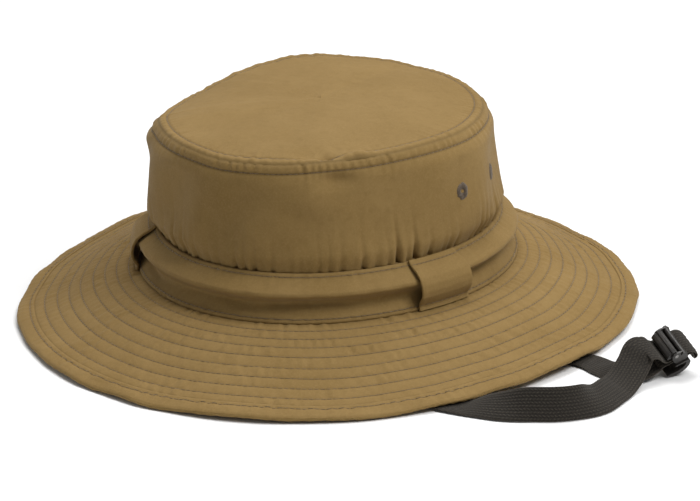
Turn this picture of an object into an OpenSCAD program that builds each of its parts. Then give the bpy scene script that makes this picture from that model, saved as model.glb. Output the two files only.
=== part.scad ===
// Boonie hat: a soft crown, a quilted brim and a flat chin strap with a cam-lock slider.
// The front of the hat is -Y, the wearer's left is +X, and the brim's lowest edge is at z = 0.
// The head oval is made of four arcs, so every band of cloth that follows it is made of
// four slices of rings about the same four centres. The centres form 3-4-5 triangles.

/* [Head oval] */
// Radius of the oval's front and back arcs at the brim seam
end_r = 79; // [78:1:81]
// Spacing of the arc centres: the oval is 2 * (end_r + 4 of it) long, 2 * (end_r + 2 of it) wide
oval_step = 6; // [5:0.5:6.5]

/* [Brim] */
// Height of the brim seam above the brim's lowest edge
brim_rise = 23.4; // [22:0.1:26]
// How far the brim reaches out from the seam, seen from above
brim_reach = 60.2; // [59:0.1:62]
// Height by which the brim's slope swells into an S
brim_swell = 1.2; // [0:0.1:1.6]
// Thickness of each of the brim's three plies
ply = 0.8; // [0.6:0.1:0.9]
// Width of the bound hem, seen from above
hem_w = 8.4; // [7:0.1:10]

/* [Crown] */
// Height of the crown's top seam
seam_z = 96; // [92:1:100]
// How far the crown leans in between the brim seam and the top seam
crown_lean = 13.5; // [12.5:0.1:14]
// Rise of the domed tip above its seam
tip_rise = 4.8; // [2:0.1:8]
// Thickness of the crown cloth
cloth = 1; // [0.8:0.1:1.2]

/* [Band and loops] */
// Height of the band's top edge
band_z = 44.2; // [42:0.1:46]
// Width of a band loop along the band
loop_w = 30; // [22:1:36]
// Angle of the front loops from the side of the hat, about the side arc's centre
loop_angle = 26.2; // [22:0.1:28]

/* [Vent eyelets] */
// Height of the eyelets
eyelet_z = 70.5; // [64:0.5:74]
// Half of the angle between the two eyelets on a side
eyelet_angle = 10; // [7:0.5:14]
// Angle by which the middle of each pair lies forward of the side of the hat
eyelet_forward = 5; // [0:0.5:8]
// Outer diameter of an eyelet
eyelet_d = 7.6; // [6:0.1:9]
// Diameter of the hole in an eyelet
eyelet_hole_d = 2.6; // [2:0.1:3]

/* [Chin strap and slider] */
// Width of the flat strap
strap_w = 15; // [13:0.5:15]
// Thickness of the strap
strap_t = 1.4; // [1:0.1:1.4]
// Length of the slider across the strap
slider_len = 18.8; // [18.8:0.1:20]
// Diameter of the lever's pin
pin_d = 1.8; // [1.2:0.1:1.8]

/* [Hidden] */
$fn = 96;

cloth_colour = "#94804f";
thread_colour = "#7d6c50";
strap_colour = "#2f2e2a";
plastic_colour = "#45423d";

// Centres and radii of the oval's four arcs
end_y = 4 * oval_step;
side_x = 3 * oval_step;
side_r = end_r + 5 * oval_step;

// Radial stations along the brim, and the height of its top face at each
edge_top = 3;
inner_edge = -3.4;
ply_end = brim_reach - 1.2;
hem_start = brim_reach - hem_w;
brim_rs = [inner_edge, 0, 5, 12, 20, 28, 36, 44, hem_start, (hem_start + ply_end) / 2, ply_end];
hem_rs = [hem_start, (hem_start + ply_end) / 2, ply_end];
function brim_top(r) =
    let (t = r / brim_reach)
    brim_rise - (brim_rise - edge_top) * t + brim_swell * sin(360 * t);
// The crown's pieces stand on the slanted strip between the brim's inner edge and its seam
function seam_strip(r) = brim_rise + (brim_top(inner_edge) - brim_rise) * r / inner_edge;
function reversed(list) = [for (i = [len(list) - 1:-1:0]) list[i]];

// Lines that neighbouring pieces share, as [offset from the oval, height]
wall_out = [[inner_edge + cloth, seam_strip(inner_edge + cloth)], [-9.8, band_z], [-12, 60],
            [-crown_lean, 84], [-crown_lean, seam_z]];
wall_in = concat([[inner_edge, seam_strip(inner_edge)]],
                 [for (i = [1:4]) [wall_out[i][0] - cloth, wall_out[i][1]]]);

// One ring of a profile about each arc's centre, cut to the slice that its arc covers
module oval_sweep() {
    far = 100;
    for (side = [-1, 1]) {
        intersection() {
            translate([-side * side_x, 0, 0]) rotate_extrude() translate([side_r, 0]) children();
            translate([-side * side_x, 0, -10]) linear_extrude(200)
                polygon([[0, 0], [side * 3 * far, -4 * far], [side * 3 * far, 4 * far]]);
        }
        intersection() {
            translate([0, side * end_y, 0]) rotate_extrude() translate([end_r, 0]) children();
            translate([0, side * end_y, -10]) linear_extrude(200)
                polygon([[0, 0], [-3 * far, side * 4 * far], [3 * far, side * 4 * far]]);
        }
    }
}

// Room for the two runs of the chin strap where they lie under the hem
module strap_relief() {
    translate([86, -120, -1]) cube([34, 20, 2.9]);
    translate([131, -46, -1]) cube([20, 20, 2.9]);
}

module brim_layer(drop) {
    top = [for (r = brim_rs) [r, brim_top(r) - drop]];
    low = [for (p = top) [p[0], p[1] - ply]];
    difference() {
        oval_sweep() polygon(concat(top, reversed(low)));
        strap_relief();
    }
}

module brim_top_ply() { color(cloth_colour) brim_layer(0); }
module brim_interlining() { color("#d8d2c0") brim_layer(ply); }
module brim_bottom_ply() { color(cloth_colour) brim_layer(2 * ply); }

// Doubled strip folded over the rim; its underside is the flat ring that the hat stands on
module brim_binding() {
    fold = 0.6;
    outer = [for (r = hem_rs) [r, brim_top(r) + fold]];
    inner_top = [for (r = hem_rs) [r, brim_top(r)]];
    inner_low = [for (r = hem_rs) [r, brim_top(r) - 3 * ply]];
    rim = [[brim_reach - 0.3, 2.9], [brim_reach, 2.1], [brim_reach, 1], [brim_reach - 0.8, -0.4]];
    leg = [[hem_start, brim_top(hem_start) - 3 * ply - fold]];
    color(cloth_colour) difference() {
        oval_sweep() polygon(concat(outer, rim, leg, inner_low, reversed(inner_top)));
        translate([-200, -200, -2]) cube([400, 400, 2]);
        strap_relief();
    }
}

module sweatband() {
    inner = [[-12.2, band_z], [inner_edge - 1.4, wall_in[0][1]], [inner_edge - 1.4, brim_rise - 2.6]];
    outer = [[inner_edge, brim_rise - 2.6], wall_in[0], wall_in[1]];
    color("#8b7a52") oval_sweep() polygon(concat(inner, outer));
}

// The four vent holes: children are placed on the wall, with +X pointing out of the hat
module at_vents(sides = [0, 1], ends = [-1, 1]) {
    for (side = sides) for (end = ends)
        mirror([side, 0, 0]) translate([-side_x, 0, 0]) rotate([0, 0, end * eyelet_angle - eyelet_forward])
            translate([side_r + wall_out[2][0] - 0.6, 0, eyelet_z]) children();
}

module crown_wall() {
    color(cloth_colour) difference() {
        oval_sweep() polygon(concat(wall_out, reversed(wall_in)));
        at_vents() rotate([0, 90, 0]) cylinder(d = eyelet_hole_d + 1.2, h = 8, center = true);
    }
}

module vent_eyelet(side, end) {
    flange = 0.6;
    color(thread_colour) at_vents([side], [end]) rotate([0, 90, 0]) difference() {
        union() {
            translate([0, 0, 0.4]) cylinder(d = eyelet_d, h = flange);
            translate([0, 0, -cloth - 1]) cylinder(d = eyelet_hole_d + 0.8, h = cloth + 1.6);
            translate([0, 0, -cloth - 1]) cylinder(d = eyelet_d, h = flange);
        }
        cylinder(d = eyelet_hole_d, h = 10, center = true);
    }
}

module eyelet_left_front() { vent_eyelet(0, -1); }
module eyelet_left_back() { vent_eyelet(0, 1); }
module eyelet_right_front() { vent_eyelet(1, -1); }
module eyelet_right_back() { vent_eyelet(1, 1); }

// Domed tip: a swept skirt round a flat plateau that has the oval's shape too
module crown_tip() {
    steps = 5;
    run = 55.5;
    crest = end_r - crown_lean - run;
    top = [for (i = [0:steps])
        let (u = i / steps)
        [-crown_lean - run * u, seam_z + cloth + tip_rise * (1 - pow(1 - u, 3))]];
    low = [for (p = top) [p[0], p[1] - cloth]];
    color(cloth_colour) {
        oval_sweep() polygon(concat(top, reversed(low)));
        translate([0, 0, seam_z + tip_rise]) linear_extrude(cloth) {
            intersection() {
                translate([side_x, 0]) circle(side_r - end_r + crest);
                translate([-side_x, 0]) circle(side_r - end_r + crest);
                square([100, 2 * (end_y + crest * 0.8)], center = true);
            }
            for (y = [-end_y, end_y]) translate([0, y]) circle(crest);
        }
    }
}

// Tape that covers the raw edges of the crown's top seam, inside the crown
module crown_seam_tape() {
    x = -crown_lean - cloth;
    color("#8b7a52") oval_sweep() polygon([[x, seam_z - 1], [x, seam_z - 8], [x - 0.8, seam_z - 8],
                                           [x - 0.8, seam_z - 1]]);
}

// Broad folded band, stitched down at its top and bottom and puffed between
module hat_band() {
    face = [[0, brim_rise], [-0.6, 27.5], [-2.2, 32], [-3.2, 36.5], [-5.6, 41], [-8.4, band_z]];
    color(cloth_colour) oval_sweep()
        polygon(concat(face, [[wall_out[1][0], band_z], wall_out[0]]));
}

// One loop, as offset and height: sewn to the band at the bottom and to the wall above the band
module loop_profile() {
    outer = [[1.2, 23.9], [3.8, 27], [4.6, 31], [3.4, 36], [0, 41], [-4.4, 44.8], [-8.6, 46.6],
             [-9.9, 47.4]];
    inner = [[-9.95, 46.2], [-8.6, 45.4], [-5.4, 43.7], [-1.3, 39.9], [2.1, 35.2], [3.3, 31],
             [2.6, 27.6], [0.05, 25.4], [0.05, 23.9]];
    polygon(concat(outer, inner));
}

module band_loop_left() {
    half = loop_w / (2 * side_r) * 180 / PI;
    color(cloth_colour) translate([-side_x, 0, 0]) rotate([0, 0, -loop_angle - half])
        rotate_extrude(angle = 2 * half) translate([side_r, 0]) loop_profile();
}

module band_loop_right() { mirror([1, 0, 0]) band_loop_left(); }

module band_loop_back() {
    half = loop_w / (2 * end_r) * 180 / PI;
    color(cloth_colour) translate([0, end_y, 0]) rotate([0, 0, 90 - half])
        rotate_extrude(angle = 2 * half) translate([end_r, 0]) loop_profile();
}

// The slider's own frame: +X along the strap towards its end loop, +Y across it, +Z off its face
slider_at = [188, -35, 14.6];
slider_turn = [24, -21, 41];
function turned(p, a) =
    let (x = [p[0], p[1] * cos(a[0]) - p[2] * sin(a[0]), p[1] * sin(a[0]) + p[2] * cos(a[0])])
    let (y = [x[0] * cos(a[1]) + x[2] * sin(a[1]), x[1], -x[0] * sin(a[1]) + x[2] * cos(a[1])])
    [y[0] * cos(a[2]) - y[1] * sin(a[2]), y[0] * sin(a[2]) + y[1] * cos(a[2]), y[2]];
function from_slider(x, z) = [slider_at + turned([x, 0, z], slider_turn), turned([0, 1, 0], slider_turn)];

// The strap's route: each entry is a centre point and the direction across the strap there.
// It starts inside the hat at the wearer's right, comes out under the brim, runs through the
// slider, folds into the end loop and goes back to the wearer's left.
front_run = [[[-84, 0, 19], [0, 1, 0]], [[-83, -2, 9], [0, 1, 0]], [[-70, -14, 1], [0.5, 0.8, 0]],
             [[-40, -38, 1], [0.6, 0.8, 0]], [[0, -66, 1], [0.5, 0.8, 0]], [[40, -90, 1], [0.4, 0.9, 0]],
             [[78, -106, 1], [0.2, 1, 0]], [[102, -110, 1], [0, 1, 0]], [[114, -111, 1], [0, 1, 0]],
             [[124, -111.5, 2], [0, 0.9, 0.3]], [[134, -112, 4], [0, 0.8, 0.6]],
             [[146, -110.5, 6.5], [-0.1, 0.5, 0.9]], [[158, -106.5, 7.2], [-0.2, 0.3, 0.9]],
             [[166.5, -99.5, 6.6], [-0.3, 0.2, 0.8]], [[171.5, -88, 5], [-0.7, 0.3, 0.6]],
             [[173.2, -75, 4], [-0.8, 0.2, 0.5]], [[174.2, -63, 5], [-0.9, 0.1, 0.4]],
             [[175.6, -54, 9.5], [-0.9, 0.1, 0.4]], [[176.6, -48.8, 14], [-0.9, 0.2, 0.4]]];
through = [from_slider(-12.8, 5.6), from_slider(-10.4, 3.6), from_slider(-9.2, 0.9),
           from_slider(-7.4, -1.15), from_slider(-5.8, -1.35), from_slider(0, -1.35),
           from_slider(4, -1.45), from_slider(6.1, -2.7), from_slider(7.7, -5), from_slider(7.6, -7),
           from_slider(6.6, -7.7), from_slider(5.9, -6.6), from_slider(5.95, -4.9),
           from_slider(5.2, -3.4), from_slider(3.8, -2.95), from_slider(0, -2.95),
           from_slider(-9, -2.95), from_slider(-12, -4.2)];
rear_run = [[[176, -46, 3.6], [-0.6, 0.7, 0.2]], [[169, -48.5, 2], [-0.2, 1, 0.1]],
            [[160, -45, 1], [0.2, 1, 0.1]], [[151, -39, 1], [0.2, 1, 0]], [[140, -36, 1], [0.1, 1, 0]],
            [[126, -32, 1], [0.2, 1, 0]], [[108, -23, 1], [0.4, 0.9, 0]], [[92, -10, 1], [0.3, 0.9, 0]],
            [[84.5, -2, 9], [0, 1, 0]], [[84, 0, 19], [0, 1, 0]]];
route = concat(front_run, through, rear_run);
rings_per_span = 2;

function unit(v) = v / norm(v);
function spline(a, b, c, d, u) =
    0.5 * (2 * b + (c - a) * u + (2 * a - 5 * b + 4 * c - d) * u * u + (3 * b - a - 3 * c + d) * u * u * u);
function along(list, k, t) =
    let (last = len(list) - 1, i = min(floor(t), last - 1))
    spline(list[max(i - 1, 0)][k], list[i][k], list[i + 1][k], list[min(i + 2, last)][k], t - i);
// One ring of eight points; where the strap lies low it is lifted clear of the ground
function strap_ring(t) =
    let (c = along(route, 0, t), span = len(route) - 1)
    let (dir = unit(along(route, 0, min(t + 0.05, span)) - along(route, 0, max(t - 0.05, 0))))
    let (v = along(route, 1, t), across = unit(v - (v * dir) * dir), face = cross(dir, across))
    let (w = strap_w / 2, h = strap_t / 2)
    let (low = w * abs(across[2]) + h * abs(face[2]) + 0.1)
    let (mid = [c[0], c[1], max(c[2], low)])
    [for (q = [[w, h / 2], [w - 0.5, h], [0.5 - w, h], [-w, h / 2],
               [-w, -h / 2], [0.5 - w, -h], [w - 0.5, -h], [w, -h / 2]])
        mid + q[0] * across + q[1] * face];

module chin_strap() {
    count = rings_per_span * (len(route) - 1) + 1;
    points = [for (i = [0:count - 1]) each strap_ring(i / rings_per_span)];
    sides = [for (i = [0:count - 2]) for (j = [0:7])
        let (a = 8 * i + j, b = 8 * i + (j + 1) % 8)
        each [[a, b, a + 8], [b, b + 8, a + 8]]];
    start = [for (j = [1:6]) [0, j + 1, j]];
    finish = [for (j = [1:6]) let (e = 8 * (count - 1)) [e, e + j, e + j + 1]];
    color(strap_colour) polyhedron(points = points, faces = concat(sides, start, finish));
}

pin_at = [-2.6, 1.3];
cheek_in = 7.9;
cheek_t = 0.8;

module in_slider() { translate(slider_at) rotate(slider_turn) children(); }

// Extrudes an outline drawn in the slider's XZ plane across the strap
module across(from, to) { translate([0, to, 0]) rotate([90, 0, 0]) linear_extrude(to - from) children(); }

// Hollow curved hood below the strap, a bar above it, and a cheek at each end that joins them
module slider_frame() {
    half = slider_len / 2;
    color(plastic_colour) in_slider() difference() {
        union() {
            difference() {
                across(-half, half) polygon([[-9.2, -8], [-7.6, -9.4], [-5, -10.2], [-2, -10.1],
                    [0.6, -9.2], [2.5, -7.6], [3.4, -5.6], [3.2, -4.3], [2.4, -3.95], [-3.4, -3.95],
                    [-5.2, -4.6], [-6.8, -5.9], [-8.2, -7.2]]);
                across(-half - 1, half + 1) polygon([[1.3, -4.75], [1, -6.1], [-0.3, -7.2], [-2.2, -7.9],
                    [-4.6, -8.1], [-6.6, -8], [-8.6, -7.9], [-10, -7], [-5, -3.6], [-3.9, -4.75]]);
            }
            translate([1, 0, 1]) rotate([90, 0, 0]) cylinder(r = 1.3, h = slider_len, center = true);
            for (side = [-1, 1])
                across(side > 0 ? cheek_in : -cheek_in - cheek_t, side > 0 ? cheek_in + cheek_t : -cheek_in)
                    polygon([[-3.2, -4.3], [2.3, -4.3], [2.9, -2], [2.7, 1.2], [1.6, 2.2], [0, 2.7],
                             [-2, 2.9], [-3.6, 2.6], [-4.6, 1.8], [-4.9, 0.4], [-4.3, -2]]);
        }
        translate([pin_at[0], 0, pin_at[1]]) rotate([90, 0, 0])
            cylinder(d = pin_d + 0.1, h = 30, center = true);
    }
}

module slider_pin() {
    length = 2 * (cheek_in + cheek_t) + 0.4;
    color("#8a8780") in_slider() translate([pin_at[0], 0, pin_at[1]]) rotate([90, 0, 0])
        cylinder(d = pin_d, h = length, center = true);
}

// Thumb lever: a smooth tab with one groove, on a boss that turns about the pin over the strap
module cam_lever() {
    half = cheek_in - 0.3;
    color(plastic_colour) in_slider() difference() {
        union() {
            across(-half, half) polygon([[-6.8, 0.2], [-6.9, 0.9], [-6.3, 1.9], [-5.3, 2.6], [-4.3, 2.9],
                [-4, 2.4], [-3.5, 3], [-2.4, 3.2], [-1.5, 2.8], [-1.1, 1.8], [-2, 0.4], [-4, 0.3]]);
            translate([pin_at[0], 0, pin_at[1]]) rotate([90, 0, 0])
                cylinder(r = 1.6, h = 2 * half, center = true);
        }
        translate([pin_at[0], 0, pin_at[1]]) rotate([90, 0, 0])
            cylinder(d = pin_d + 0.16, h = 30, center = true);
    }
}

crown_tip();
crown_wall();
crown_seam_tape();
hat_band();
band_loop_left();
band_loop_right();
band_loop_back();
brim_top_ply();
brim_interlining();
brim_bottom_ply();
brim_binding();
sweatband();
eyelet_left_front();
eyelet_left_back();
eyelet_right_front();
eyelet_right_back();
chin_strap();
slider_frame();
slider_pin();
cam_lever();
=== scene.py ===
import math

import bpy
import numpy as np
from mathutils import Matrix, Vector


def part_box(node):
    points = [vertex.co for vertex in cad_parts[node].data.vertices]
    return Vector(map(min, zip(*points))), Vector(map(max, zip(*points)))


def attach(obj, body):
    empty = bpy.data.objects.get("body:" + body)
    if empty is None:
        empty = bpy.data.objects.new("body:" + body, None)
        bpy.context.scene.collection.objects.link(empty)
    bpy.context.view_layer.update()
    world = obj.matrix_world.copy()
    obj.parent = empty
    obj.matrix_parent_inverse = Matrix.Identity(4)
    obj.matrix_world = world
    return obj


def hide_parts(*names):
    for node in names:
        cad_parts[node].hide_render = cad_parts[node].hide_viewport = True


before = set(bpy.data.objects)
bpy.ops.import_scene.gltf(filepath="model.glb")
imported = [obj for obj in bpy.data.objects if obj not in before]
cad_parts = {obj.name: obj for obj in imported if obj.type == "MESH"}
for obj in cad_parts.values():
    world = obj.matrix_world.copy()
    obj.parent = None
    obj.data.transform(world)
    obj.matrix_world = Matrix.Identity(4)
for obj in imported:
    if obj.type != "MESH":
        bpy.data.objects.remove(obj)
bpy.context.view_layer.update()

# Lengths below are in millimetres; MM turns them into the frame's metres.
MM = 0.001
TAU = 2 * math.pi


# ---------------------------------------------------------------- camera, first of all

def make_camera():
    """A long lens, a little above the hat, in front of it and to the wearer's left."""
    azimuth, elevation, roll = math.radians(24), math.radians(19.6), math.radians(-0.75)
    distance = 1.4
    back = Vector((math.sin(azimuth) * math.cos(elevation), -math.cos(azimuth) * math.cos(elevation),
                   math.sin(elevation)))
    aim = Vector((9.4, 4.2, 23.1)) * MM
    camera = bpy.data.objects.new("camera", bpy.data.cameras.new("camera"))
    bpy.context.scene.collection.objects.link(camera)
    camera.data.lens = 146.06
    camera.data.sensor_width = 36
    camera.location = aim + back * distance
    look = (-back).to_track_quat("-Z", "Y").to_matrix() @ Matrix.Rotation(roll, 3, "Z")
    camera.matrix_world = Matrix.Translation(camera.location) @ look.to_4x4()
    bpy.context.scene.camera = camera


make_camera()


# ---------------------------------------------------------------- the head oval, from the frame

seam_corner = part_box("hat_band")[1] / MM
rim_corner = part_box("brim_binding")[1] / MM
tip_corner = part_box("crown_tip")[1] / MM
# The crown tip's lowest edge is this far below the top seam
TIP_EDGE_DROP = 0.9

# The oval at the base seam is four arcs, two ends and two sides, with centres on 3-4-5 triangles
OVAL_STEP = (seam_corner.y - seam_corner.x) / 2
END_Y = 4 * OVAL_STEP
SIDE_X = 3 * OVAL_STEP
END_R = seam_corner.y - END_Y
SIDE_R = seam_corner.x + SIDE_X
# Where the side arcs turn into the end arcs
SPLIT = math.atan2(4, 3)
SPLIT_SINE = 0.8
REACH = rim_corner.y - seam_corner.y
BASE_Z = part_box("hat_band")[0].z / MM
BAND_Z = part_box("hat_band")[1].z / MM
SEAM_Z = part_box("crown_tip")[0].z / MM + TIP_EDGE_DROP
TOP_Z = tip_corner.z

ARC_STOPS = np.cumsum([0, SPLIT * SIDE_R, (math.pi - 2 * SPLIT) * END_R, 2 * SPLIT * SIDE_R,
                       (math.pi - 2 * SPLIT) * END_R, SPLIT * SIDE_R])
ARC_TURNS = np.array([0, SPLIT, math.pi - SPLIT, math.pi + SPLIT, TAU - SPLIT, TAU])
GIRTH = ARC_STOPS[-1]


def turn_of(u):
    """The direction that the oval faces at a share u of the way round it, from the wearer's left."""
    return np.interp(np.mod(u, 1) * GIRTH, ARC_STOPS, ARC_TURNS)


def share_of(degrees):
    """The inverse of turn_of, for a direction in degrees."""
    return np.interp(math.radians(degrees % 360), ARC_TURNS, ARC_STOPS) / GIRTH


def oval(u, offset):
    """x and y of the point that lies offset outside the oval, a share u of the way round."""
    turn = turn_of(u)
    c, s = np.cos(turn), np.sin(turn)
    on_side = np.abs(s) < SPLIT_SINE
    radius = np.where(on_side, SIDE_R, END_R) + offset
    return (np.where(on_side, -np.sign(c) * SIDE_X, 0) + radius * c,
            np.where(on_side, 0, np.sign(s) * END_Y) + radius * s)


def smooth(x):
    """A smooth step from 0 to 1."""
    x = np.clip(x, 0, 1)
    return x * x * (3 - 2 * x)


def around(u, knots):
    """A smooth value round the hat, through knots of (degrees, value)."""
    shares = np.array([share_of(a) for a, _ in knots])
    values = np.array([v for _, v in knots], float)
    order = np.argsort(shares)
    shares, values = shares[order], values[order]
    shares = np.concatenate([shares[-1:] - 1, shares, shares[:1] + 1])
    values = np.concatenate([values[-1:], values, values[:1]])
    u = np.mod(u, 1)
    i = np.clip(np.searchsorted(shares, u, side="right") - 1, 0, len(shares) - 2)
    t = smooth((u - shares[i]) / (shares[i + 1] - shares[i]))
    return values[i] * (1 - t) + values[i + 1] * t


class Ripple:
    """Random waves with about so many crests round the hat, of unit size, one set for each lane."""

    def __init__(self, seed, crests, lanes=1, terms=12, spread=0.45):
        rng = np.random.default_rng(seed)
        self.crests = np.round(crests * rng.uniform(1 - spread, 1 + spread, (lanes, terms)))
        self.phases = rng.uniform(0, TAU, (lanes, terms))
        self.terms = terms

    def __call__(self, u, lane=0):
        total = sum(np.cos(TAU * self.crests[lane, j] * u + self.phases[lane, j])
                    for j in range(self.terms))
        return total / math.sqrt(self.terms / 2)


def bump(u, v, degrees, at, width, height):
    """A soft bump of unit size at a direction and a height, width and height its radii in mm."""
    along = (np.mod(u - share_of(degrees) + 0.5, 1) - 0.5) * GIRTH
    return np.exp(-(along / width) ** 2 - ((v - at) / height) ** 2)


def dents(u, v, table):
    """The sum of a table's soft bumps, whose rows are (size in mm, degrees, at, width, height)."""
    return sum(size * bump(u, v, *shape) for size, *shape in table)


# ---------------------------------------------------------------- the cloth surfaces

RIM_Z = 3
BRIM_CURL = 1.2


def brim_height(r):
    """Height of the brim's top face, r outside the base seam, before it is quilted or bent."""
    t = r / REACH
    return BASE_Z - (BASE_Z - RIM_Z) * t + BRIM_CURL * np.sin(TAU * t)


# Distances outside the base seam and down the slope, for the same places on the brim
slope_r = np.linspace(-4, REACH, 400)
slope_s = np.concatenate([[0], np.cumsum(np.hypot(np.diff(slope_r), np.diff(brim_height(slope_r))))])
slope_s -= np.interp(0, slope_r, slope_s)


def plan(s):
    """Distance outside the base seam seen from above, for a distance s down the slope."""
    return np.interp(s, slope_s, slope_r)


def slant(r):
    """The inverse of plan."""
    return np.interp(r, slope_r, slope_s)


# Distances down the slope: the hem's inner edge, its rim, and the quilting rows
HEM_IN, HEM_OUT = 55.5, 64
QUILT = np.array([5.7, 11.9, 17.9, 24.2, 31.1, 37.3, 43.6, 50.2])
QUILT_EDGES = np.concatenate([[-0.5], QUILT, [HEM_IN]])
# How high the cloth stands between the rows, its puckers there, and how deep the rows sink
QUILT_PUFF, QUILT_PUCKER, QUILT_SINK = 0.42, 0.2, 0.2
BRIM_THICK = 2.2
# How much higher the rim is than its plain height, round the hat
BRIM_LIFT = [(0, 1.0), (20, 0.3), (45, -0.3), (66, -0.4), (90, 0.2), (115, 0.8), (135, 1.6), (158, 3.0),
             (172, 1.8), (188, 0.3), (205, 0.1), (225, 0.3), (250, 0.0), (275, 0.2), (300, 0.1),
             (316, 0.5), (328, 2.3), (345, 2.8)]
# How much further out than its plain reach the rim comes, round the hat
BRIM_TRIM = [(0, 0.4), (20, -0.3), (35, -2.2), (50, -4.6), (66, -5.6), (85, -4.5), (105, -2), (125, -0.8),
             (145, -1), (165, -2.4), (180, -3.2), (195, -2.0), (208, 0), (225, 0.3), (250, 0.6),
             (285, 1.5), (305, 1.5), (330, 0.6)]
quilt_puckers = Ripple(11, 130, lanes=10)
quilt_under = Ripple(12, 130, lanes=10)
quilt_patches = Ripple(13, 14, lanes=10)
brim_waves = Ripple(14, 9, terms=6)
hem_waves = Ripple(15, 26, terms=8)
hem_puckers = Ripple(16, 150, terms=16)


def brim_bend(u, r):
    """Slow bends of the whole brim: it lifts and dips towards its rim."""
    grow = smooth(r / REACH)
    return around(u, BRIM_LIFT) * grow + 0.45 * brim_waves(u) * grow * (1 - 0.4 * grow)


def brim_plan(u, r):
    """x and y on the brim, r outside the base seam, where the rim is pulled in or let out."""
    return oval(u, r * (1 + around(u, BRIM_TRIM) / REACH))


def quilting(u, r, puckers):
    """Rise of the cloth between the quilting rows, with short puckers across each channel."""
    s = slant(r)
    lane = np.clip(np.searchsorted(QUILT_EDGES, s) - 1, 0, len(QUILT))
    x = np.clip((s - QUILT_EDGES[lane]) / (QUILT_EDGES[lane + 1] - QUILT_EDGES[lane]), 0, 1)
    arch = 1 - np.abs(2 * x - 1) ** 2.6
    strength = 0.75 + 0.3 * quilt_patches(u, lane)
    return QUILT_PUFF * arch + QUILT_PUCKER * arch * strength * puckers(u, lane)


def brim_top(u, r):
    """The brim's upper face."""
    x, y = brim_plan(u, r)
    high = brim_height(r) + brim_bend(u, r) + quilting(u, r, quilt_puckers) - QUILT_SINK
    return np.stack([x, y, high], -1)


def brim_under(u, r):
    """The brim's lower face."""
    x, y = brim_plan(u, r)
    low = brim_height(r) + brim_bend(u, r) - BRIM_THICK - quilting(u, r, quilt_under) + QUILT_SINK
    return np.stack([x, y, low], -1)


# The hem's section before it is pressed, as (distance down the slope, height off the brim's middle)
HEM_SECTION = [(55.3, 0.95), (55.5, 1.45), (56.3, 1.62), (57.7, 1.38), (59.2, 1.62), (61.2, 1.6),
               (63, 1.3), (64, 0.7), (64.3, 0), (64, -0.7), (63, -1.3), (61.2, -1.55), (59.2, -1.55),
               (57.7, -1.38), (56.3, -1.6), (55.5, -1.45), (55.3, -0.95)]
HEM_PRESSED = 0.93
# The hem's two stitch rows, as shares of the way along its section
HEM_ROWS = (3 / 16, 13 / 16)


def hem(u, w):
    """The bound rim: w runs from 0 at its top inner edge, round the rim, to 1 underneath."""
    spots = np.linspace(0, 1, len(HEM_SECTION))
    s = np.interp(w, spots, [p[0] for p in HEM_SECTION])
    n = np.interp(w, spots, [p[1] for p in HEM_SECTION])
    free = smooth((s - 58) / 3)
    crimp = 0.16 * hem_puckers(u) * smooth((s - HEM_IN) / 1.5) * (1 - 0.5 * free)
    s = s + 0.25 * hem_waves(u) * free
    n = n + np.sign(n) * crimp
    r = plan(np.minimum(s, HEM_OUT))
    r = r + np.maximum(s - HEM_OUT, 0)
    x, y = brim_plan(u, r)
    z = brim_height(np.minimum(r, REACH)) + brim_bend(u, r) - BRIM_THICK / 2 + n * HEM_PRESSED
    return np.stack([x, y, z + 0.25 * hem_waves(u + 0.01) * free], -1)


# How far the crown's top has moved over, in x and y
TOP_SHIFT = (-2.5, -0.9)
# How much higher the top seam is than its plain height, round the hat
SEAM_SAG = [(0, -0.6), (33, -1.4), (52, -1.4), (76, -1.5), (92, 0), (107, 0.7), (116, 1.7), (125, 2.8),
            (134, 3.0), (144, 1.2), (153, -0.8), (161, -3.4), (171, -5.6), (183, -5.8), (195, -4.6),
            (204, -2.2), (214, -0.2), (240, -0.2), (262, -1.3), (282, -1.0), (305, 0), (335, 0.4)]
# How far the wall puffs out past a straight line from the band to the seam
WALL_PUFF = [(0, 4.8), (20, 4.8), (50, 4), (90, 3), (120, 2.4), (140, 1), (158, 0), (172, 0.4), (186, 3.4),
             (198, 6), (210, 6.2), (228, 4.2), (250, 2.8), (290, 2.2), (325, 2.4), (345, 3.8)]
# How far the wall's foot reaches down behind the band
WALL_TUCK = 4
# The wall's distance outside the oval at the band's top, and how much further in it leans above that
WALL_FOOT, WALL_LEAN = -9.7, 3.8
# The same for the edge of the crown's top
TIP_EDGE = -13.6
# Distances of the stitch rows from the top seam
WALL_ROW = 4.6
TIP_ROW = 4.6
# Slack places in the cloth, as rows for dents
WALL_DENTS = [(-3.2, 308, 88, 9, 3.5), (1.6, 299, 78, 12, 8), (-1.4, 236, 66, 20, 16),
              (-1.2, 290, 70, 14, 14), (-1.0, 215, 88, 9, 7), (0.8, 305, 82, 20, 12),
              (-1.0, 282, 58, 9, 7), (0.8, 272, 62, 7, 8), (0.8, 248, 60, 8, 9),
              (-0.9, 255, 66, 7, 9), (-0.8, 318, 62, 9, 8), (0.7, 226, 70, 10, 10)]
TIP_DENTS = [(-2.4, 306, 3.5, 5, 3), (1.5, 315, 2.5, 6, 3), (-1.3, 298, 7, 9, 4), (0.9, 285, 12, 20, 8)]
wall_gathers = Ripple(21, 86, terms=18, spread=0.5)
wall_gather_size = Ripple(22, 11, terms=5)
wall_puckers = Ripple(23, 120, terms=16)
wall_pucker_size = Ripple(24, 13, terms=6)
wall_waves = Ripple(25, 7, terms=5)
wall_waves_low = Ripple(26, 11, terms=6)
tip_puckers = Ripple(27, 95, terms=12)
tip_waves = Ripple(28, 6, terms=5)


def wall_top(u):
    """Height of the crown's top seam: it has slumped at the wearer's right and stands up behind that."""
    return SEAM_Z + around(u, SEAM_SAG)


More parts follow.
